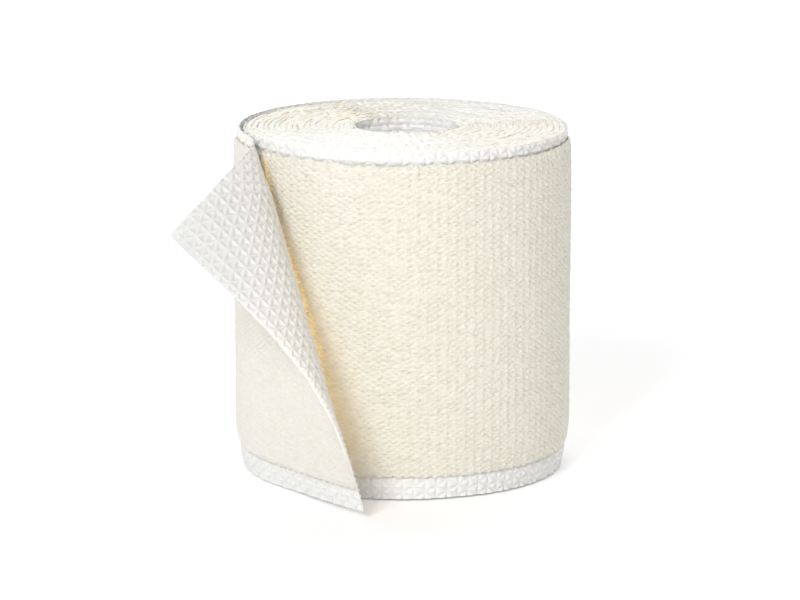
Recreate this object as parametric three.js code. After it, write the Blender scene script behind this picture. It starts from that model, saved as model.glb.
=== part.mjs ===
// Elastic adhesive bandage roll, standing on its end: a cream crepe cloth and a wider white release
// film, wound together, with the loose end led off at the front left and its top corner curled out.
// Lengths are in millimetres and angles in degrees. The roll's axis is vertical.
import * as THREE from 'three';

// The two strips
const CLOTH_WIDTH = 75;
const FILM_WIDTH = 83.4;
const FOOT_MARGIN = 5.7; // film that shows below the cloth
const SHEET = 1; // each loose sheet's thickness
const GAP = 0.3; // clearance between neighbouring pieces
const CUT_SETBACK = 0.8; // the film's cut end stands past the cloth's by this much

// The wound body
const OUTER_RADIUS = 41.3; // over the last turn, where the loose end leaves
const TURN_PITCH = 1.4; // one turn of cloth and film
const HOLE_RADIUS = 11.2;
const LINING = 1.2; // the film's innermost turns, which line the hole
const FILM_STEP = 1; // the film's edge lies this far inside the cloth's face
const FOOT_DRAW = 1.7; // the strips draw in towards the foot
const FOOT_DRAW_HEIGHT = 14;
const TOP_DRAW = 0.4; // and a little at the top
const TOP_DRAW_HEIGHT = 9.4;
const TURN_GROOVES = 8; // the gaps between turns that show from a step away
const GROOVE_WIDTH = 0.9;
const GROOVE_DEPTH = 0.9;
const WOUND_SECTIONS = 80;

// The loose end
const SEAM_ANGLE = 150; // the last turn's step, from which the loose sheets start
const LEAVE_ANGLE = 213; // where they leave the roll
const FREE_LENGTH = 40.7; // along the foot, from there to the cut end
const CORNER_LIFT = 1.5; // the cut end's lower corner off the floor
const FREE_DRAW = 1.2; // further draw-in of the free foot
const FREE_DRAW_HEIGHT = 25;

// The curl of its top corner, about an axis that leans back from the vertical
const CURL_LEAN = 30;
const CURL_START = 38.9; // along the foot, past the point where the strip leaves the roll
const CURL_RADIUS = 15.1;
const CURL_ENTRY = 2; // run over which the bend sets in
const CURL_ARC = 24.7; // run at the full bend
const CURL_EXIT = 20.7; // run over which it opens again
const FLAP_RADIUS = 44; // what bend is left in the flap beyond

// Grid of the loose sheets
const WOUND_COLUMNS = 9;
const FREE_COLUMNS = 17;
const SHEET_ROWS = 26;

// Where the roll's axis stands, so that the plan is centred on the origin
const AXIS_X = 6.96;
const AXIS_Y = 8.97;

const CLOTH_FOOT = FOOT_MARGIN;
const CLOTH_TOP = FOOT_MARGIN + CLOTH_WIDTH;
const PAIR = 2 * SHEET + GAP;
const MIDDLE_RADIUS = OUTER_RADIUS - PAIR / 2;
const BED_RADIUS = OUTER_RADIUS - PAIR - GAP;
const TOP_DRAW_FOOT = FILM_WIDTH - TOP_DRAW_HEIGHT;

const radians = THREE.MathUtils.degToRad;
const { smoothstep, clamp } = THREE.MathUtils;

// How far the strips draw in at a height above the floor
function drawIn(height) {
  const foot = clamp(1 - height / FOOT_DRAW_HEIGHT, 0, 1);
  const top = clamp((height - TOP_DRAW_FOOT) / TOP_DRAW_HEIGHT, 0, 1);
  return FOOT_DRAW * foot ** 2 + TOP_DRAW * top ** 2;
}

// Share of the way out of the bed that the loose sheets lie in, at an angle on from the seam
const BED_PAST_LEAVE = 6;
const BED_RAMP = 18;
function outOfBed(turned) {
  const end = LEAVE_ANGLE - SEAM_ANGLE + BED_PAST_LEAVE;
  return smoothstep(turned, end, end + BED_RAMP);
}

// The wound cloth's radius: a spiral that grows by one turn's pitch, with the bed cut into it
function woundRadius(turned) {
  const spiral = OUTER_RADIUS - TURN_PITCH * (1 - turned / 360);
  return BED_RADIUS + (spiral - BED_RADIUS) * outOfBed(turned);
}

function mesh(name, geometry, color, roughness) {
  const made = new THREE.Mesh(geometry, new THREE.MeshStandardMaterial({ color, roughness, metalness: 0 }));
  made.name = name;
  return made;
}

function solid(positions, index) {
  const geometry = new THREE.BufferGeometry();
  geometry.setAttribute('position', new THREE.Float32BufferAttribute(positions, 3));
  geometry.setIndex(index);
  geometry.computeVertexNormals();
  return geometry;
}

// A solid swept round the axis. section(turned) is its closed outline as [radius, height] pairs,
// anticlockwise, at an angle on from the seam; the last section stands just before the seam's step.
// closing lists which corners of the last section meet which of the first, where they aren't the
// same ones.
const STEP_ANGLE = 0.4;
function woundSolid(section, closing) {
  const positions = [];
  const index = [];
  const corners = section(0).length;
  const same = Array.from({ length: corners }, (_, j) => [j, j]);
  for (let i = 0; i <= WOUND_SECTIONS; i++) {
    const turned = (i / WOUND_SECTIONS) * (360 - STEP_ANGLE);
    const angle = radians(SEAM_ANGLE + turned);
    for (const [radius, height] of section(turned)) {
      positions.push(radius * Math.cos(angle), radius * Math.sin(angle), height);
    }
  }
  for (let i = 0; i <= WOUND_SECTIONS; i++) {
    const last = i === WOUND_SECTIONS;
    const pairs = last && closing ? closing : same;
    const next = last ? 0 : i + 1;
    for (let j = 0; j < pairs.length; j++) {
      const [here, there] = pairs[j];
      const [hereUp, thereUp] = pairs[(j + 1) % pairs.length];
      const a = i * corners + here;
      const b = next * corners + there;
      const c = next * corners + thereUp;
      const d = i * corners + hereUp;
      if (b !== c) index.push(a, b, c);
      if (a !== d) index.push(a, c, d);
    }
  }
  return solid(positions, index);
}

// Heights from one level up to another, the last left out
function levels(from, to, count) {
  return Array.from({ length: count }, (_, i) => from + ((to - from) * i) / count);
}

// The cloth's wound body. Its corners stand closer together where the strips draw in.
const CLOTH_LEVELS = [
  ...levels(CLOTH_FOOT, FOOT_DRAW_HEIGHT, 3),
  ...levels(FOOT_DRAW_HEIGHT, TOP_DRAW_FOOT, 2),
  ...levels(TOP_DRAW_FOOT, CLOTH_TOP, 2),
  CLOTH_TOP,
];
function clothSection(turned) {
  const inner = HOLE_RADIUS + LINING + GAP;
  const outside = CLOTH_LEVELS.map((height) => [woundRadius(turned) - drawIn(height), height]);
  return [[inner, CLOTH_FOOT], ...outside, [inner, CLOTH_TOP]];
}

// One spiral groove in the film's top edge, seen here where it crosses a section: corners from the
// outside in, three to a crossing. It is run out to nothing at both of its ends.
const GROOVE_SPACING = (BED_RADIUS - TOP_DRAW - HOLE_RADIUS) / TURN_GROOVES;
const GROOVE_START = HOLE_RADIUS + 0.7 * GROOVE_WIDTH; // leaves a lip at the hole
const GROOVE_RUNOUT = 20; // degrees
function grooveCrossings(turned) {
  const corners = [];
  for (let i = TURN_GROOVES - 1; i >= 0; i--) {
    const middle = GROOVE_START + (i + turned / 360) * GROOVE_SPACING;
    let depth = GROOVE_DEPTH;
    if (i === 0) depth *= clamp(turned / GROOVE_RUNOUT, 0, 1);
    if (i === TURN_GROOVES - 1) depth *= clamp((360 - STEP_ANGLE - turned) / GROOVE_RUNOUT, 0, 1);
    corners.push([middle + GROOVE_WIDTH / 2, FILM_WIDTH]);
    corners.push([middle, FILM_WIDTH - depth]);
    corners.push([middle - GROOVE_WIDTH / 2, FILM_WIDTH]);
  }
  return corners;
}

// The film's wound form: the lining of the hole, and the ring of edges past the cloth at each end
function filmSection(turned) {
  const edge = (height) => [woundRadius(turned) - FILM_STEP * outOfBed(turned) - drawIn(height), height];
  const lining = HOLE_RADIUS + LINING;
  const underCloth = CLOTH_FOOT - GAP;
  const overCloth = CLOTH_TOP + GAP;
  return [
    [HOLE_RADIUS, 0],
    edge(0),
    edge(underCloth / 2),
    edge(underCloth),
    [lining, underCloth],
    [lining, overCloth],
    edge(overCloth),
    edge(FILM_WIDTH),
    ...grooveCrossings(turned),
    [HOLE_RADIUS, FILM_WIDTH],
  ];
}

// Across the seam each crossing of the groove meets the next one out
function filmClosing() {
  const hole = filmSection(0).length - 1; // the outline's last corner
  const rim = hole - 3 * TURN_GROOVES - 1; // its corner at the top edge's outside
  const pairs = [];
  for (let j = 0; j <= rim; j++) pairs.push([j, j]);
  for (let j = rim + 1; j <= rim + 3; j++) pairs.push([j, rim]);
  for (let j = rim + 4; j < hole; j++) pairs.push([j, j - 3]);
  for (let j = hole - 3; j <= hole; j++) pairs.push([hole, j]);
  return pairs;
}

// Bend across the curl's axis, summed in short steps from its start: turn, run and rise
const BEND_STEP = 0.25;
const BEND_REACH = 80;
function bendCurve() {
  const full = 1 / CURL_RADIUS;
  const flap = 1 / FLAP_RADIUS;
  const curvature = (q) => {
    if (q < CURL_ENTRY) return (full * q) / CURL_ENTRY;
    const opened = clamp((q - CURL_ENTRY - CURL_ARC) / CURL_EXIT, 0, 1);
    return full + (flap - full) * opened;
  };
  const steps = [{ turn: 0, run: 0, rise: 0 }];
  for (let q = BEND_STEP / 2; q < BEND_REACH; q += BEND_STEP) {
    const last = steps[steps.length - 1];
    const turn = last.turn + curvature(q) * BEND_STEP;
    const middle = (last.turn + turn) / 2;
    const run = last.run + Math.cos(middle) * BEND_STEP;
    const rise = last.rise + Math.sin(middle) * BEND_STEP;
    steps.push({ turn, run, rise });
  }
  return steps;
}
const BEND = bendCurve();

function bendAt(q) {
  const place = Math.min(q / BEND_STEP, BEND.length - 1.001);
  const low = BEND[Math.floor(place)];
  const high = BEND[Math.floor(place) + 1];
  const share = place - Math.floor(place);
  return {
    turn: low.turn + (high.turn - low.turn) * share,
    run: low.run + (high.run - low.run) * share,
    rise: low.rise + (high.rise - low.rise) * share,
  };
}

// A point of the loose end. past is its distance along the strip past the line where it leaves the
// roll (less than nothing on the roll), height is measured across the strip from its foot, and
// proud is the distance outwards from the middle of the two sheets.
function looseEndPoint(past, height, proud) {
  const lean = radians(CURL_LEAN);
  const fromStart = past - CURL_START;
  const across = fromStart * Math.cos(lean) + height * Math.sin(lean);
  const along = height * Math.cos(lean) - fromStart * Math.sin(lean);
  // the point of the strip's still unbent part that the bend carries
  const curled = across > 0;
  const footPast = curled ? CURL_START - along * Math.sin(lean) : past;
  const footHeight = curled ? along * Math.cos(lean) : height;
  const free = Math.max(footPast, 0);
  const angle = radians(LEAVE_ANGLE) + Math.min(footPast, 0) / MIDDLE_RADIUS;
  const out = new THREE.Vector3(Math.cos(angle), Math.sin(angle), 0);
  const on = new THREE.Vector3(-Math.sin(angle), Math.cos(angle), 0);
  const freeShare = Math.min(free / FREE_LENGTH, 1);
  const freeDraw = FREE_DRAW * freeShare * clamp(1 - footHeight / FREE_DRAW_HEIGHT, 0, 1) ** 2;
  const point = new THREE.Vector3();
  point.addScaledVector(out, MIDDLE_RADIUS - drawIn(footHeight) - freeDraw);
  point.addScaledVector(on, free);
  point.z = footHeight + CORNER_LIFT * freeShare ** 2;
  if (!curled) return point.addScaledVector(out, proud);

  const bend = bendAt(across);
  const onAndUp = on.clone().multiplyScalar(Math.cos(lean));
  onAndUp.z = Math.sin(lean);
  point.addScaledVector(onAndUp, bend.run);
  point.addScaledVector(out, bend.rise);
  point.addScaledVector(out, proud * Math.cos(bend.turn));
  point.addScaledVector(onAndUp, -proud * Math.sin(bend.turn));
  return point;
}

// A loose sheet between two heights of the strip, with its outer and inner face this far proud
function looseSheet(foot, top, outer, inner, freeLength) {
  const seamClearance = 1.5 * GAP; // the step's wall is a little slanted
  const woundLength = radians(LEAVE_ANGLE - SEAM_ANGLE) * MIDDLE_RADIUS - seamClearance;
  const stations = [];
  for (let i = 0; i < WOUND_COLUMNS; i++) stations.push(-woundLength * (1 - i / WOUND_COLUMNS));
  for (let i = 0; i <= FREE_COLUMNS; i++) stations.push((freeLength * i) / FREE_COLUMNS);

  const columns = stations.length;
  const rows = SHEET_ROWS + 1;
  const positions = [];
  for (const proud of [outer, inner]) {
    for (const past of stations) {
      for (let j = 0; j < rows; j++) {
        const height = foot + ((top - foot) * j) / SHEET_ROWS;
        positions.push(...looseEndPoint(past, height, proud));
      }
    }
  }
  const index = [];
  const back = columns * rows; // the inner face's first point
  const quad = (a, b, c, d) => index.push(a, b, c, a, c, d);
  for (let i = 0; i < columns - 1; i++) {
    for (let j = 0; j < rows - 1; j++) {
      const a = i * rows + j;
      quad(a, a + rows, a + rows + 1, a + 1);
      quad(back + a, back + a + 1, back + a + rows + 1, back + a + rows);
    }
    const low = i * rows;
    const high = low + rows - 1;
    quad(low, back + low, back + low + rows, low + rows);
    quad(high, high + rows, back + high + rows, back + high);
  }
  for (let j = 0; j < rows - 1; j++) {
    const end = (columns - 1) * rows + j;
    quad(j, j + 1, back + j + 1, back + j);
    quad(end, back + end, back + end + 1, end + 1);
  }
  return solid(positions, index);
}

const CREAM = '#f3ead2';
const WHITE = '#eef0ec';
const DULL = 0.95;
const HALF_MATT = 0.55;

const outerFace = PAIR / 2;
const clothEnd = looseSheet(CLOTH_FOOT, CLOTH_TOP, outerFace, GAP / 2, FREE_LENGTH - CUT_SETBACK);
const filmEnd = looseSheet(0, FILM_WIDTH, -GAP / 2, -outerFace, FREE_LENGTH);

const roll = new THREE.Group();
roll.position.set(AXIS_X, AXIS_Y, 0);
roll.add(mesh('cloth_roll', woundSolid(clothSection), CREAM, DULL));
roll.add(mesh('film_roll', woundSolid(filmSection, filmClosing()), WHITE, HALF_MATT));
roll.add(mesh('cloth_end', clothEnd, CREAM, DULL));
roll.add(mesh('film_end', filmEnd, WHITE, HALF_MATT));

const part = new THREE.Group();
part.add(roll);

export default part;
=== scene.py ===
"""An upright roll of elastic adhesive bandage: cream crepe cloth wound together with a wider, white
embossed release film. The loose end leaves the roll at the front left and its top corner curls out."""

import math

import bpy
import numpy as np
from mathutils import Matrix, Vector


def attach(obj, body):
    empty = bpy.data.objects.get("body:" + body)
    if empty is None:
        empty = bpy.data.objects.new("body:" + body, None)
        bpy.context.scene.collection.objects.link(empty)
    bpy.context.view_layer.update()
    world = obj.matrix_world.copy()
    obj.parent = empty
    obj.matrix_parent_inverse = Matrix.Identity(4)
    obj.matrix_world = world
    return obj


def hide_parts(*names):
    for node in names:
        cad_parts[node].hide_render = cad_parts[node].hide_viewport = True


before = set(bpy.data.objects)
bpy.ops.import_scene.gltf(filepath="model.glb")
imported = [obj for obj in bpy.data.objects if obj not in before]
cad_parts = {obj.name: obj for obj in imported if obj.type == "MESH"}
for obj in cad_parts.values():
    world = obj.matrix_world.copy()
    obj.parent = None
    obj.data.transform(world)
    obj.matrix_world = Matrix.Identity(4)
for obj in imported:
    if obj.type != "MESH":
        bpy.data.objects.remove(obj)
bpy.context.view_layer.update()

# Sizes are in millimetres and degrees until a mesh is made. These are the solids' own sizes, but
# for CUT_SETBACK, which is 0.8 there.
METRE = 0.001
CLOTH_WIDTH = 75
FILM_WIDTH = 83.4
FOOT_MARGIN = 5.7
OUTER_RADIUS = 41.3
TURN_PITCH = 1.4
HOLE_RADIUS = 11.2
FOOT_DRAW = 1.7
FOOT_DRAW_HEIGHT = 14
TOP_DRAW = 0.4
TOP_DRAW_HEIGHT = 9.4
SEAM_ANGLE = 150
LEAVE_ANGLE = 213
FREE_LENGTH = 40.7
CUT_SETBACK = 0.3
CORNER_LIFT = 1.5
FREE_DRAW = 1.2
FREE_DRAW_HEIGHT = 25
CURL_LEAN = 30
CURL_START = 38.9
CURL_RADIUS = 15.1
CURL_ENTRY = 2
CURL_ARC = 24.7
CURL_EXIT = 20.7
FLAP_RADIUS = 44
MIDDLE_RADIUS = 40.15
AXIS_X = 6.96
AXIS_Y = 8.97
CLOTH_FOOT = FOOT_MARGIN
CLOTH_TOP = FOOT_MARGIN + CLOTH_WIDTH
TOP_DRAW_FOOT = FILM_WIDTH - TOP_DRAW_HEIGHT
RESTING_ANGLE = LEAVE_ANGLE - SEAM_ANGLE
SEAM_PAST = -math.radians(RESTING_ANGLE) * MIDDLE_RADIUS
OUTER_TURN = SEAM_PAST - 2 * math.pi * (MIDDLE_RADIUS - TURN_PITCH / 2)

# Where the faces of the cloth and of the film lie, from the strip's middle surface outwards.
CLOTH_THICKNESS = 0.75
CLOTH_OUTER = OUTER_RADIUS - MIDDLE_RADIUS
CLOTH_INNER = CLOTH_OUTER - CLOTH_THICKNESS
FILM_OUTER = CLOTH_INNER - 0.03
FILM_THICKNESS = 0.12

# The film's embossing is a lattice of triangles, each one a three-sided pit.
EMBOSS_PITCH = 3
EMBOSS_ROW = EMBOSS_PITCH * math.sqrt(3) / 2
EMBOSS_DEPTH = 0.62
EMBOSS_END_OFFSET = 4.34
EMBOSS_TOP_OFFSET = 1.96
PRESSED_END = 0.5

# The film's margins stand out towards the level of the cloth's outer face, and waver.
FOOT_FLARE = 0.6
TOP_FLARE = 0.15
MARGIN_WAVER = 0.35
FOOT_GAP = 0.25

# The weave repeats along the strip and across it, with a looser row at intervals.
WARP_PITCH = 1.125
WEFT_PITCH = 0.675
BAND_ROWS = 10
BAND_MIDDLE = 5
BAND_HALF_WIDTH = 1.2
BAND_DEPTH = 0.1

# The crowns' mean level, and how much of their height alternates with the column and the row
# together, with the column, with the row, and over four rows. No two crowns are equally high.
CROWN_LEVEL = 0.45
CHECK_SHARE = 0.27
COLUMN_SHARE = 0.165
ROW_SHARE = 0.04
FOURTH_ROW_SHARE = 0.04
CROWN_SPREAD = 0.5
YARN_DRIFT = 2.2
YARN_RELIEF = 0.48

# The relief that marks an inner face, and what is left of the weave's on the loose end.
ADHESIVE = -1
LOOSE_SHARE = 0.55
STRETCH_RUN = 25

# The outer turn's face wanders and its edges are thin, and so is the loose end along the cut.
CLOTH_SLACK = 0.12
SLACK_SIZE = 9
THINNED_BY = 0.4
THIN_EDGE = 1.2
THIN_CUT = 2.5

# The cloth's upper edge lies higher on the inner turns than on the outer one, most near the seam
# and opposite it.
INNER_RISE = 1.5
SIDE_RISE = 1.05
RISE_RUN = 60
PRESSED_IN = 0.6
PRESSED_RUN = 20

# Edges sharper than this, in degrees, are shaded as edges.
CREASES = {"crepe_cloth": 70, "release_film": 34}


def clamp(values):
    return np.clip(values, 0, 1)


def smooth(values):
    share = clamp(values)
    return share * share * (3 - 2 * share)


def hashed(a, b):
    """Values spread evenly from 0 to 1, always the same for the same two whole numbers."""
    mixed = np.sin(a * 127.1 + b * 311.7) * 43758.5453
    return mixed - np.floor(mixed)


def draw_in(height):
    """How far the strip lies inside its radius near the foot and the top."""
    at_foot = clamp(1 - height / FOOT_DRAW_HEIGHT) ** 2
    at_top = clamp((height - TOP_DRAW_FOOT) / TOP_DRAW_HEIGHT) ** 2
    return FOOT_DRAW * at_foot + TOP_DRAW * at_top


def bend_curve():
    """The curl's section from its fold line on: distance along it, turn, run and rise."""
    reach, step = 80, 0.25
    distance = np.arange(0, reach + step, step)
    middle = distance[:-1] + step / 2
    entry = clamp(middle / CURL_ENTRY)
    leaving = clamp((middle - CURL_ENTRY - CURL_ARC) / CURL_EXIT)
    curvature = entry / CURL_RADIUS * (1 - leaving) + leaving / FLAP_RADIUS
    turn = np.concatenate([[0], np.cumsum(curvature * step)])
    half_turn = (turn[1:] + turn[:-1]) / 2
    run = np.concatenate([[0], np.cumsum(np.cos(half_turn) * step)])
    rise = np.concatenate([[0], np.cumsum(np.sin(half_turn) * step)])
    return distance, turn, run, rise


BEND = bend_curve()


def loose_point(past, height, proud):
    """A point of the loose end: past the line where it leaves the roll, up from the foot, and proud
    of the strip's middle surface."""
    lean = math.radians(CURL_LEAN)
    from_start = past - CURL_START
    across = from_start * math.cos(lean) + height * math.sin(lean)
    along = height * math.cos(lean) - from_start * math.sin(lean)
    curled = across > 0
    foot_past = np.where(curled, CURL_START - along * math.sin(lean), past)
    foot_height = np.where(curled, along * math.cos(lean), height)
    free = np.maximum(foot_past, 0)
    angle = math.radians(LEAVE_ANGLE) + np.minimum(foot_past, 0) / MIDDLE_RADIUS
    out = np.stack([np.cos(angle), np.sin(angle), 0 * angle], -1)
    on = np.stack([-np.sin(angle), np.cos(angle), 0 * angle], -1)
    up = np.array([0.0, 0.0, 1.0])
    free_share = clamp(free / FREE_LENGTH)
    drawn = FREE_DRAW * free_share * clamp(1 - foot_height / FREE_DRAW_HEIGHT) ** 2
    radius = MIDDLE_RADIUS - draw_in(foot_height) - drawn
    lifted = foot_height + CORNER_LIFT * free_share**2
    on_the_roll = out * radius[..., None] + on * free[..., None] + up * lifted[..., None]
    distance, turns, runs, rises = BEND
    bent = np.maximum(across, 0)
    turn = np.interp(bent, distance, turns)[..., None]
    run = np.interp(bent, distance, runs)[..., None]
    rise = np.interp(bent, distance, rises)[..., None]
    on_and_up = on * math.cos(lean) + up * math.sin(lean)
    facing = out * np.cos(turn) - on_and_up * np.sin(turn)
    return on_the_roll + on_and_up * run + out * rise + facing * proud[..., None]


def wound_radius(turned):
    """The radius of the cloth's outer face at an angle from the seam, below 0 inside it. It grows
    only where the loose end doesn't lie over it."""
    whole = np.floor(turned / 360)
    share = clamp((turned - 360 * whole - RESTING_ANGLE) / (360 - RESTING_ANGLE))
    return OUTER_RADIUS + TURN_PITCH * (whole + share)


def winding():
    """The wound strip's places along its length and the angles from the seam that they have."""
    step = 0.5
    turned, past = [0.0], [SEAM_PAST]
    while wound_radius(turned[-1]) > HOLE_RADIUS + TURN_PITCH:
        middle = float(wound_radius(turned[-1])) - CLOTH_OUTER
        turned.append(turned[-1] - math.degrees(step / middle))
        past.append(past[-1] - step)
    return np.array(past[::-1]), np.array(turned[::-1])


WOUND_PAST, WOUND_TURNED = winding()
INNER_END_PAST = WOUND_PAST[0]


def wound_point(past, height, proud):
    """A point of the wound strip, past the line where the loose end leaves it and so below 0."""
    turned = np.interp(past, WOUND_PAST, WOUND_TURNED)
    angle = np.radians(SEAM_ANGLE + turned)
    middle = wound_radius(turned) - CLOTH_OUTER
    near_hole = clamp((HOLE_RADIUS + 7 - middle) / 7) ** 2
    crumple = near_hole * (0.7 * np.cos(2 * angle - 0.3) + 0.3 * np.sin(5 * angle + 1))
    radius = middle - draw_in(height) + proud + crumple
    return np.stack([radius * np.cos(angle), radius * np.sin(angle), height + 0 * angle], -1)


def embossing(past, height):
    """The film's relief: 0 on the ridges of the lattice, 1 at the bottom of a pit and at the cut,
    where the knife has pressed the film against the cloth."""
    from_end = (FREE_LENGTH - EMBOSS_END_OFFSET - past) / EMBOSS_ROW
    from_top = (FILM_WIDTH - EMBOSS_TOP_OFFSET - height) / EMBOSS_PITCH
    lines = [from_end, from_top - from_end / 2, from_top + from_end / 2]
    nearest = np.min([np.abs(place - np.round(place)) for place in lines], axis=0)
    return 1 - (1 - 3 * nearest) * smooth((FREE_LENGTH - past) / PRESSED_END)


def drift(past, height, size, seed):
    """Smooth wandering from -1 to 1 over the strip, with lumps of one size."""
    across, up = past / size, height / size
    left, low = np.floor(across), np.floor(up)
    right_share, up_share = smooth(across - left), smooth(up - low)
    corners = [[hashed(left + i + 17 * seed, low + j) for j in (0, 1)] for i in (0, 1)]
    below = corners[0][0] * (1 - right_share) + corners[1][0] * right_share
    above = corners[0][1] * (1 - right_share) + corners[1][1] * right_share
    return 2 * (below * (1 - up_share) + above * up_share) - 1


def yarn_place(past, height):
    """Which column and row of the plain weave a place is in, whole numbers on the yarns."""
    row = (height - CLOTH_FOOT) / WEFT_PITCH + 0.2 * drift(past, height, YARN_DRIFT, 1)
    column = past / WARP_PITCH + 0.14 * drift(past, height, YARN_DRIFT, 2)
    return column, row


def weave(past, height):
    """The cloth's relief: about 1 on the large crowns, on every other column and row, less on the
    small ones between them, about 0 in the holes."""
    column, row = yarn_place(past, height)
    columns, rows = np.cos(math.pi * column), np.cos(math.pi * row)
    crown = CROWN_LEVEL + CHECK_SHARE * columns * rows + COLUMN_SHARE * columns + ROW_SHARE * rows
    crown = crown + FOURTH_ROW_SHARE * np.cos(math.pi * row / 2)
    uneven = CROWN_SPREAD * (hashed(np.round(column), np.round(row)) - 0.5)
    from_band = np.abs(np.mod(row - BAND_MIDDLE + BAND_ROWS / 2, BAND_ROWS) - BAND_ROWS / 2)
    band = BAND_DEPTH * clamp(1 - from_band / BAND_HALF_WIDTH)
    return crown + uneven * crown - band


def cloth_outer(past, height):
    """The outer face of a turn that shows, whose edges are drawn thin."""
    at_edge = smooth(np.minimum(height - CLOTH_FOOT, CLOTH_TOP - height) / THIN_EDGE)
    slack = CLOTH_SLACK * drift(past, height, SLACK_SIZE, 3)
    woven = CLOTH_OUTER - YARN_RELIEF * (1 - weave(past, height))
    return woven - THINNED_BY * (1 - at_edge) + slack


def inner_cloth_outer(past, height):
    """The outer face of an inner turn, of which only the edge shows."""
    return CLOTH_OUTER + 0.08 * drift(past, height, 3, 3)


def slackness(past):
    """How much of its relief the loose end keeps; the stretch grows from the seam on."""
    return 1 - (1 - LOOSE_SHARE) * smooth((past - SEAM_PAST) / STRETCH_RUN)


def flattened_weave(past, height):
    """The loose end's relief, which the stretch has drawn flatter."""
    return 1 - slackness(past) * (1 - weave(past, height))


def loose_cloth_outer(past, height):
    """The loose end's outer face, which the knife has thinned along the cut."""
    flattened = YARN_RELIEF * (flattened_weave(past, height) - weave(past, height))
    thinned = THINNED_BY * smooth((past - CLOTH_END_PAST + THIN_CUT) / THIN_CUT)
    return cloth_outer(past, height) + flattened - thinned


def cloth_inner(past, height):
    return CLOTH_INNER + 0 * past * height


def inner_cloth_inner(past, height):
    """The inner face of an inner turn, which the winding has pressed into the film's pits, all but
    the innermost turn's."""
    return cloth_inner(past, height) - PRESSED_IN * smooth((past - LINING_PAST) / PRESSED_RUN)


def film_outer(past, height):
    return FILM_OUTER - EMBOSS_DEPTH * (1 - embossing(past, height)) + flare(past, height)


def film_inner(past, height):
    return film_outer(past, height) - FILM_THICKNESS


def flare(past, height):
    """How far the film's margins stand out; the free part of the loose end is flat again."""
    at_foot = smooth((CLOTH_FOOT + 0.5 - height) / 2.5)
    at_top = smooth((height - CLOTH_TOP + 0.3) / 1.5)
    return (FOOT_FLARE * at_foot + TOP_FLARE * at_top) * (1 - smooth(past / 15))


def margin_point(past, height, proud):
    """A point of the wound film, whose margins waver in and out and along the turns."""
    above = clamp((height - CLOTH_TOP) / (FILM_WIDTH - CLOTH_TOP))
    below = clamp((CLOTH_FOOT - height) / CLOTH_FOOT)
    level = past * 0
    waver = above * drift(past, level, 6.5, 5) + below * drift(past, level, 11, 7)
    crept = 1.3 * drift(past, level, 24, 4)
    return wound_point(past + crept, height, proud + MARGIN_WAVER * waver)


def trimmed(height, past):
    """The upper edges of the film's turns lie a little below the outer one's."""
    lower = 0.2 + 0.2 * drift(past, past * 0, 31, 8)
    return height - lower * (height >= FILM_WIDTH) * smooth((OUTER_TURN - past) / 20)


def frayed(height, past):
    """The cloth's edges waver a little; its other rows stay where they are."""
    waves = 0.12 * np.sin(past * 1.9) * np.sin(past * 0.37 + 1)
    threads = 0.14 * (hashed(np.round(past * 2), 3) - 0.5)
    wavering = waves + threads
    edge = (height <= CLOTH_FOOT) | (height >= CLOTH_TOP)
    return height + wavering * edge


def risen(height, past):
    """The inner turns' upper edge climbs above the outer turn's within the first part of a turn."""
    turned = np.radians(np.interp(past, WOUND_PAST, WOUND_TURNED))
    higher = SIDE_RISE * np.cos(turned) ** 2 + 0.12 * drift(past, past * 0, 5, 6)
    climb = (INNER_RISE + higher) * smooth((OUTER_TURN - past) / RISE_RUN)
    return frayed(height, past) + climb * (height >= CLOTH_TOP)


def straight(height, past):
    return height + 0 * past


def steps(low, high, step, offset=0.0):
    """Places from low to high, with those between them on multiples of the step from the offset."""
    first = math.ceil((low - offset) / step + 0.25)
    last = math.floor((high - offset) / step - 0.25)
    inside = offset + step * np.arange(first, last + 1)
    return np.concatenate([[low], inside, [high]])


def cap_faces(start, outer_heights, inner_heights, reverse):
    """Triangles that close one end of a strip, between its outer and its inner face."""
    faces = []
    last = len(outer_heights) + len(inner_heights) - 1
    o = 0
    i = 0
    while o < len(outer_heights) - 1 or i < len(inner_heights) - 1:
        outer, inner = start + o, start + last - i
        more_outer = o < len(outer_heights) - 1
        more_inner = i < len(inner_heights) - 1
        if more_outer and (not more_inner or outer_heights[o + 1] <= inner_heights[i + 1]):
            face = (outer, outer + 1, inner)
            o += 1
        else:
            face = (outer, inner - 1, inner)
            i += 1
        faces.append(face[::-1] if reverse else face)
    return faces


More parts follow.
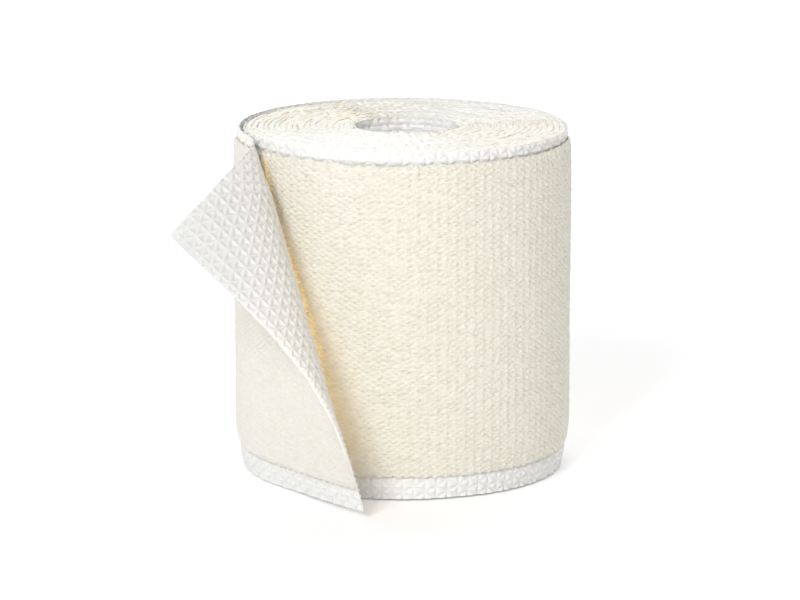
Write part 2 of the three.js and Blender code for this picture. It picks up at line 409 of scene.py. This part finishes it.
def strip_piece(
    name, nodes, slot, point, edge, columns, outer_rows, inner_rows, outer, inner, hollow
):
    """A closed thin strip: columns along it, rows up its outer face and rows down its inner one."""
    heights = np.concatenate([outer_rows, inner_rows[::-1]])
    past, height = np.meshgrid(columns, heights, indexing="ij")
    is_outer = np.arange(len(heights)) < len(outer_rows)
    proud = np.where(is_outer, outer(past, height), inner(past, height))
    points = point(past, edge(height, past), proud).reshape(-1, 3) * METRE
    ring = len(heights)
    start = np.arange(len(columns) - 1)[:, None] * ring
    at = np.arange(ring)[None, :]
    above = (at + 1) % ring
    quads = np.stack([start + at, start + ring + at, start + ring + above, start + above], -1)
    faces = quads.reshape(-1, 4).tolist()
    faces += cap_faces(0, outer_rows, inner_rows, False)
    faces += cap_faces((len(columns) - 1) * ring, outer_rows, inner_rows, True)
    mesh = bpy.data.meshes.new(name)
    mesh.from_pydata(points.tolist(), [], faces)
    relief = np.where(is_outer, hollow(past, height), ADHESIVE)
    strip = np.stack([past, height, relief], -1).astype(np.float32)
    place = mesh.attributes.new("strip", "FLOAT_VECTOR", "POINT")
    place.data.foreach_set("vector", strip.ravel())
    column, row = yarn_place(past, height)
    strength = slackness(past) if hollow is flattened_weave else 1 + 0 * past
    yarns = np.stack([(column + row) / 2, (column - row) / 2, strength], -1).astype(np.float32)
    lattice = mesh.attributes.new("yarns", "FLOAT_VECTOR", "POINT")
    lattice.data.foreach_set("vector", yarns.ravel())
    mesh.polygons.foreach_set("use_smooth", np.ones(len(faces), dtype=bool))
    mesh.set_sharp_from_angle(angle=math.radians(CREASES[slot]))
    piece = bpy.data.objects.new(name, mesh)
    piece.location = (AXIS_X * METRE, AXIS_Y * METRE, 0)
    bpy.context.scene.collection.objects.link(piece)
    mesh.materials.append(MATERIALS[slot])
    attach(piece, "root")
    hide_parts(*nodes)
    return piece


def add_node(tree, kind, **values):
    """A shader node with its properties and, by the names of its sockets, its inputs."""
    node = tree.nodes.new(kind)
    for name, value in values.pop("sockets", {}).items():
        if isinstance(value, bpy.types.NodeSocket):
            tree.links.new(value, node.inputs[name])
        else:
            node.inputs[name].default_value = value
    for name, value in values.items():
        setattr(node, name, value)
    return node


def calculate(tree, operation, first, second, third=0.0):
    return add_node(
        tree, "ShaderNodeMath", operation=operation, sockets={0: first, 1: second, 2: third}
    ).outputs[0]


def blend_colours(tree, share, first, second):
    """One colour turning into another by a share from 0 to 1."""
    node = tree.nodes.new("ShaderNodeMix")
    node.data_type = "RGBA"
    tree.links.new(share, node.inputs["Factor"])
    for socket, colour in (("A", first), ("B", second)):
        target = [s for s in node.inputs if s.name == socket and s.type == "RGBA"][0]
        if isinstance(colour, bpy.types.NodeSocket):
            tree.links.new(colour, target)
        else:
            target.default_value = (*colour, 1)
    return [s for s in node.outputs if s.type == "RGBA"][0]


def new_material(name, roughness, specular, sheen=0.0):
    material = bpy.data.materials.new(name)
    material.use_nodes = True
    shader = material.node_tree.nodes["Principled BSDF"]
    shader.inputs["Roughness"].default_value = roughness
    shader.inputs["Specular IOR Level"].default_value = specular
    shader.inputs["Sheen Weight"].default_value = sheen
    return material, material.node_tree, shader


def crepe_material():
    """Cream crepe: a lump on each crown of the weave, no two alike, with painted shade in the pinholes
    between them. The stretched loose end is painted greyer and darker, as painted shade.
    """
    material, tree, shader = new_material("crepe_cloth", 0.95, 0.1, 0.1)
    place = add_node(tree, "ShaderNodeAttribute", attribute_name="strip").outputs["Vector"]
    flat_place = add_node(
        tree, "ShaderNodeVectorMath", operation="MULTIPLY", sockets={0: place, 1: (1, 1, 0)}
    ).outputs[0]
    yarns = add_node(tree, "ShaderNodeAttribute", attribute_name="yarns").outputs["Vector"]
    strength = add_node(tree, "ShaderNodeSeparateXYZ", sockets={0: yarns}).outputs["Z"]
    wander = add_node(
        tree, "ShaderNodeTexNoise", sockets={"Vector": flat_place, "Scale": 0.9, "Detail": 1.0}
    ).outputs["Color"]
    wandered = add_node(
        tree,
        "ShaderNodeVectorMath",
        operation="MULTIPLY_ADD",
        sockets={0: wander, 1: (0.25, 0.25, 0.0), 2: yarns},
    ).outputs[0]
    cells = add_node(
        tree,
        "ShaderNodeTexVoronoi",
        voronoi_dimensions="2D",
        sockets={"Vector": wandered, "Scale": 1.0, "Randomness": 0.4},
    )
    chance = add_node(tree, "ShaderNodeSeparateXYZ", sockets={0: cells.outputs["Color"]}).outputs["X"]
    lump = add_node(
        tree,
        "ShaderNodeMapRange",
        interpolation_type="SMOOTHSTEP",
        sockets={
            "Value": cells.outputs["Distance"], "From Min": 0.05, "From Max": 0.55,
            "To Min": 1.0, "To Max": 0.0,
        },
    ).outputs[0]
    size = add_node(
        tree, "ShaderNodeMapRange", sockets={"Value": chance, "To Min": 0.35, "To Max": 1.0}
    ).outputs[0]
    lumps = calculate(tree, "MULTIPLY", calculate(tree, "MULTIPLY", lump, size), strength)
    stretched = add_node(
        tree, "ShaderNodeMapping", sockets={"Vector": flat_place, "Scale": (1.3, 2.2, 1.0)}
    ).outputs[0]
    fibres = add_node(
        tree,
        "ShaderNodeTexNoise",
        sockets={"Vector": stretched, "Scale": 1.5, "Detail": 4.0, "Roughness": 0.7},
    ).outputs["Fac"]
    relief = calculate(tree, "MULTIPLY_ADD", fibres, 0.9, lumps)
    bump = add_node(
        tree,
        "ShaderNodeBump",
        sockets={"Height": relief, "Strength": 1.0, "Distance": 0.0005},
    )
    tree.links.new(bump.outputs["Normal"], shader.inputs["Normal"])
    clouds = add_node(
        tree, "ShaderNodeTexNoise", sockets={"Vector": flat_place, "Scale": 0.12, "Detail": 3.0}
    ).outputs["Fac"]
    slack = blend_colours(tree, clouds, (0.93, 0.885, 0.785), (0.945, 0.905, 0.815))
    # Painted shade: the stretched loose end's cloth is painted greyer and darker than the wound cloth,
    # in place of the shade it lies in.
    at_rest = add_node(
        tree, "ShaderNodeMapRange", sockets={"Value": strength, "From Min": LOOSE_SHARE, "From Max": 1.0}
    ).outputs[0]
    base = blend_colours(tree, at_rest, (0.86, 0.83, 0.76), slack)
    # Painted shade: the crepe turns darker and more saturated between the lumps, most in the pinholes,
    # in place of the shade in these hollows.
    depth = add_node(
        tree,
        "ShaderNodeMapRange",
        interpolation_type="SMOOTHSTEP",
        sockets={
            "Value": cells.outputs["Distance"], "From Min": 0.5, "From Max": 0.8,
            "To Min": 0.15, "To Max": 1.0,
        },
    ).outputs[0]
    painted_pinhole_shade = calculate(tree, "MULTIPLY", calculate(tree, "MULTIPLY", depth, chance), strength)
    woven = blend_colours(tree, painted_pinhole_shade, base, (0.80, 0.735, 0.61))
    inward = add_node(tree, "ShaderNodeSeparateXYZ", sockets={0: place}).outputs["Z"]
    adhesive = add_node(
        tree,
        "ShaderNodeMapRange",
        sockets={"Value": inward, "From Min": -0.8, "From Max": -1.0, "To Min": 0.0, "To Max": 1.0},
    ).outputs[0]
    colour = blend_colours(tree, adhesive, woven, (0.92, 0.78, 0.50))
    tree.links.new(colour, shader.inputs["Base Color"])
    shader.inputs["Subsurface Weight"].default_value = 0.9
    shader.inputs["Subsurface Radius"].default_value = (1.0, 1.0, 1.0)
    shader.inputs["Subsurface Scale"].default_value = 0.00018
    return material


def film_material():
    """White plastic film with a soft shine, with painted light and shade in its colour: the inner turns
    are painted lighter and the outermost turn greyer. The loose end is painted warmer and lighter near
    the fold, as painted warm light, and greyer towards the corner and at the foot, as painted shade."""
    material, tree, shader = new_material("release_film", 0.45, 0.4)
    place = add_node(tree, "ShaderNodeAttribute", attribute_name="strip").outputs["Vector"]
    haze = add_node(
        tree,
        "ShaderNodeTexNoise",
        sockets={"Vector": place, "Scale": 0.35, "Detail": 4.0, "Roughness": 0.6},
    ).outputs["Fac"]
    # Painted light and shade: the film of the inner turns is painted lighter and that of the outermost
    # turn greyer, for how light reaches these margins.
    inside = blend_colours(tree, haze, (0.89, 0.89, 0.88), (0.92, 0.92, 0.91))
    outside = blend_colours(tree, haze, (0.82, 0.82, 0.81), (0.85, 0.85, 0.84))
    at = add_node(tree, "ShaderNodeSeparateXYZ", sockets={0: place}).outputs
    past = at["X"]
    # Painted light and shade on the loose end: lighter and warmer near the fold, as painted warm light,
    # and greyer towards the corner and at the foot, as painted shade.
    near_fold = blend_colours(tree, haze, (0.84, 0.825, 0.775), (0.88, 0.865, 0.815))
    near_corner = blend_colours(tree, haze, (0.65, 0.65, 0.64), (0.69, 0.69, 0.68))
    towards_corner = add_node(
        tree,
        "ShaderNodeMapRange",
        interpolation_type="SMOOTHSTEP",
        sockets={"Value": calculate(tree, "ADD", past, at["Y"]), "From Min": 65, "From Max": 118},
    ).outputs[0]
    curled = blend_colours(tree, towards_corner, near_fold, near_corner)
    foot = blend_colours(tree, haze, (0.75, 0.75, 0.73), (0.79, 0.79, 0.77))
    above_foot = add_node(
        tree, "ShaderNodeMapRange", sockets={"Value": at["Y"], "From Min": 5.0, "From Max": 12.0}
    ).outputs[0]
    loose_end_painted_light_and_shade = blend_colours(tree, above_foot, foot, curled)
    # Painted light and shade: the outermost turn's film is painted greyer than the inner turns'.
    outermost = add_node(
        tree,
        "ShaderNodeMapRange",
        sockets={"Value": past, "From Min": OUTER_TURN - 30, "From Max": OUTER_TURN},
    ).outputs[0]
    wound = blend_colours(tree, outermost, inside, outside)
    loose = add_node(
        tree,
        "ShaderNodeMapRange",
        interpolation_type="SMOOTHSTEP",
        sockets={"Value": past, "From Min": SEAM_PAST - 10, "From Max": SEAM_PAST + 30},
    ).outputs[0]
    colour = blend_colours(tree, loose, wound, loose_end_painted_light_and_shade)
    tree.links.new(colour, shader.inputs["Base Color"])
    grain = add_node(
        tree, "ShaderNodeTexNoise", sockets={"Vector": place, "Scale": 3.5, "Detail": 3.0}
    ).outputs["Fac"]
    bump = add_node(
        tree,
        "ShaderNodeBump",
        sockets={"Height": grain, "Strength": 0.35, "Distance": 0.00008},
    )
    tree.links.new(bump.outputs["Normal"], shader.inputs["Normal"])
    shader.inputs["Subsurface Weight"].default_value = 0.15
    shader.inputs["Subsurface Radius"].default_value = (1.0, 1.0, 1.0)
    shader.inputs["Subsurface Scale"].default_value = 0.0006
    return material


MATERIALS = {"crepe_cloth": crepe_material(), "release_film": film_material()}

# The grid steps that carry the lattice and the weave exactly, and the coarser ones inside the roll.
EMBOSS_GRID = (EMBOSS_ROW / 6, EMBOSS_PITCH / 12)
EMBOSS_COARSE = (EMBOSS_ROW / 3, EMBOSS_PITCH / 6)
EMBOSS_SPARSE = (EMBOSS_ROW / 2, EMBOSS_PITCH / 4)
WEAVE_GRID = (WARP_PITCH / 3, WEFT_PITCH * 2 / 3)
EMBOSS_PAST = FREE_LENGTH - EMBOSS_END_OFFSET
EMBOSS_HEIGHT = FILM_WIDTH - EMBOSS_TOP_OFFSET
CLOTH_END_PAST = FREE_LENGTH - CUT_SETBACK
TUCKED = 0.7
LINING_TURNS = 1.1
LINING_PAST = INNER_END_PAST + LINING_TURNS * 2 * math.pi * HOLE_RADIUS

# The outer turn of cloth is two pieces that meet at this share of it before the seam.
JOINT_SHARE = 0.26
JOINT_PAST = SEAM_PAST - (SEAM_PAST - OUTER_TURN) * JOINT_SHARE

# Coarse steps for faces that are hidden or that show only their edges, and how far past the film's
# inner end the cloth starts.
HIDDEN_STEP = 30
BACK_STEP = 1.35
COVERED_STEP = 12
INNER_TURN_STEP = 1.3
INNER_TURN_START = 4

cloth_rows = steps(CLOTH_FOOT, CLOTH_TOP, WEAVE_GRID[1], CLOTH_FOOT)
hidden_rows = steps(CLOTH_FOOT, CLOTH_TOP, HIDDEN_STEP, CLOTH_FOOT)

loose_cloth = strip_piece(
    "loose_cloth", ["cloth_end"], "crepe_cloth", loose_point, frayed,
    columns=steps(SEAM_PAST, CLOTH_END_PAST, WEAVE_GRID[0]),
    outer_rows=cloth_rows,
    inner_rows=steps(CLOTH_FOOT, CLOTH_TOP, BACK_STEP, CLOTH_FOOT),
    outer=loose_cloth_outer,
    inner=cloth_inner,
    hollow=flattened_weave,
)
for name, first, last in (
    ("wound_cloth_front", OUTER_TURN, JOINT_PAST),
    ("wound_cloth_behind", JOINT_PAST, SEAM_PAST),
):
    strip_piece(
        name, ["cloth_roll"], "crepe_cloth", wound_point, frayed,
        columns=steps(first, last, WEAVE_GRID[0]),
        outer_rows=cloth_rows,
        inner_rows=hidden_rows,
        outer=cloth_outer,
        inner=cloth_inner,
        hollow=weave,
    )
strip_piece(
    "wound_cloth_inner_turns", ["cloth_roll"], "crepe_cloth", wound_point, risen,
    columns=steps(INNER_END_PAST + INNER_TURN_START, OUTER_TURN, INNER_TURN_STEP),
    outer_rows=hidden_rows,
    inner_rows=hidden_rows,
    outer=inner_cloth_outer,
    inner=inner_cloth_inner,
    hollow=weave,
)

covered = steps(CLOTH_FOOT + TUCKED, CLOTH_TOP - TUCKED, COVERED_STEP)
fine_rows = steps(0, FILM_WIDTH, EMBOSS_GRID[1], EMBOSS_HEIGHT)
coarse_rows = steps(0, FILM_WIDTH, EMBOSS_COARSE[1], EMBOSS_HEIGHT)
margin_rows = fine_rows[(fine_rows < CLOTH_FOOT + TUCKED) | (fine_rows > CLOTH_TOP - TUCKED)]
film_back_rows = np.sort(np.concatenate([margin_rows, covered]))


def loose_film_outer(past, height):
    """Behind the cloth the film's outer face is plain, just clear of the relief."""
    behind = (height > CLOTH_FOOT + TUCKED / 2) & (height < CLOTH_TOP - TUCKED / 2)
    return np.where(behind, FILM_OUTER + 0.02, film_outer(past, height))


loose_film = strip_piece(
    "loose_film", ["film_end"], "release_film", loose_point, straight,
    columns=steps(SEAM_PAST, FREE_LENGTH, EMBOSS_GRID[0], EMBOSS_PAST),
    outer_rows=film_back_rows,
    inner_rows=fine_rows,
    outer=loose_film_outer,
    inner=film_inner,
    hollow=embossing,
)
for place, edge, low_row, high_row, inner_grid in (
    ("top", trimmed, CLOTH_TOP - TUCKED, FILM_WIDTH, EMBOSS_COARSE),
    ("foot", straight, FOOT_GAP, CLOTH_FOOT + TUCKED, EMBOSS_SPARSE),
):
    for turns, first, last, grid in (
        ("outer", OUTER_TURN, SEAM_PAST, EMBOSS_GRID),
        ("inner", LINING_PAST, OUTER_TURN, inner_grid),
    ):
        rows = steps(low_row, high_row, grid[1], EMBOSS_HEIGHT)
        strip_piece(
            f"film_{place}_margin_{turns}", ["film_roll"], "release_film", margin_point, edge,
            columns=steps(first, last, grid[0], EMBOSS_PAST),
            outer_rows=rows,
            inner_rows=rows,
            outer=film_outer,
            inner=film_inner,
            hollow=embossing,
        )
strip_piece(
    "film_hole_lining", ["film_roll"], "release_film", margin_point, straight,
    columns=steps(INNER_END_PAST, LINING_PAST, EMBOSS_COARSE[0], EMBOSS_PAST),
    outer_rows=coarse_rows,
    inner_rows=coarse_rows,
    outer=film_outer,
    inner=film_inner,
    hollow=embossing,
)

# The floor, the lights and the camera.
scene = bpy.context.scene
bpy.ops.mesh.primitive_plane_add(size=9, location=(0, 2, -0.0002))
floor = bpy.context.object
floor.name = "floor"
floor_material, _, floor_shader = new_material("floor", 1.0, 0.0)
floor_shader.inputs["Base Color"].default_value = (0.85, 0.85, 0.86, 1)
floor_shader.inputs["Emission Color"].default_value = (1, 1, 1, 1)
floor_shader.inputs["Emission Strength"].default_value = 0.2
floor.data.materials.append(floor_material)

world = bpy.data.worlds.new("studio")
world.use_nodes = True
world.node_tree.nodes["Background"].inputs["Color"].default_value = (1, 1, 1, 1)
world.node_tree.nodes["Background"].inputs["Strength"].default_value = 0.43
scene.world = world
scene.view_settings.view_transform = "Standard"


LAMP_DISTANCE = 1.3
WHITE_LIGHT = (1.0, 1.0, 1.0)
WARM_LIGHT = (1.0, 0.78, 0.4)
GLOW_LIGHT = (1.0, 0.64, 0.16)


def soft_light(name, azimuth, elevation, size, power, colour):
    """A square soft light that looks at the roll, placed by its direction from the front."""
    data = bpy.data.lights.new(name, "AREA")
    data.shape = "SQUARE"
    data.size = size
    data.energy = power
    data.color = colour
    lamp = bpy.data.objects.new(name, data)
    level, lifted = math.radians(azimuth), math.radians(elevation)
    back = Vector((
        math.sin(level) * math.cos(lifted),
        -math.cos(level) * math.cos(lifted),
        math.sin(lifted),
    ))
    lamp.location = Vector((0.0, 0.0, 0.04)) + back * LAMP_DISTANCE
    lamp.rotation_mode = "QUATERNION"
    lamp.rotation_quaternion = (-back).to_track_quat("-Z", "Y")
    scene.collection.objects.link(lamp)


soft_light("key", -24, 31, 0.45, 10.2, WHITE_LIGHT)
soft_light("right", 50, 25, 0.8, 1.1, WARM_LIGHT)
soft_light("back", 175, 52, 0.8, 6.4, WHITE_LIGHT)
soft_light("back left", -130, 35, 0.8, 1.4, WHITE_LIGHT)
soft_light("back right", 130, 35, 0.8, 2.6, WHITE_LIGHT)


def behind_the_fold(free, out, height):
    """A place in the gap behind the loose end: along it, out from its flat part's middle, and up."""
    angle = math.radians(LEAVE_ANGLE)
    along = Vector((-math.sin(angle), math.cos(angle), 0.0)) * free
    outwards = Vector((math.cos(angle), math.sin(angle), 0.0)) * (MIDDLE_RADIUS + out)
    return (Vector((AXIS_X, AXIS_Y, height)) + along + outwards) * METRE


def glow(name, top, foot, width, power, side=1):
    """A warm strip of light inside the gap, in place of the light that comes through the loose end
    and its adhesive."""
    data = bpy.data.lights.new(name, "AREA")
    data.shape = "RECTANGLE"
    data.size = width
    data.size_y = (top - foot).length
    data.energy = power
    data.color = GLOW_LIGHT
    lamp = bpy.data.objects.new(name, data)
    lamp.location = (top + foot) / 2
    upwards = (top - foot).normalized()
    aside = (behind_the_fold(1, -1, 0) - behind_the_fold(0, 0, 0)) * side
    aside = (aside - upwards * aside.dot(upwards)).normalized()
    turned = Matrix((upwards.cross(-aside), upwards, -aside)).transposed()
    lamp.rotation_mode = "QUATERNION"
    lamp.rotation_quaternion = turned.to_quaternion()
    lamp.visible_camera = False
    scene.collection.objects.link(lamp)


GLOW_TOP = behind_the_fold(-0.2, 0.05, 80)
GLOW_MIDDLE = behind_the_fold(3.6, 0, 68)
GLOW_FOOT = behind_the_fold(28, -3, 6)
glow("glow", GLOW_MIDDLE, GLOW_FOOT, 0.0016, 0.0011)
for side in (1, -1):
    glow("glow at the top", GLOW_TOP, GLOW_MIDDLE, 0.0003, 0.000024, side)

CAMERA_PLACE = Vector((6.66, -968.0, 254.37)) * METRE
CAMERA_AIM = Vector((6.0, 8.97, 40.13)) * METRE
camera_data = bpy.data.cameras.new("camera")
camera_data.lens = 184.8
camera_data.sensor_width = 36
camera = bpy.data.objects.new("camera", camera_data)
camera.location = CAMERA_PLACE
camera.rotation_mode = "QUATERNION"
camera.rotation_quaternion = (CAMERA_AIM - CAMERA_PLACE).to_track_quat("-Z", "Y")
scene.collection.objects.link(camera)
scene.camera = camera
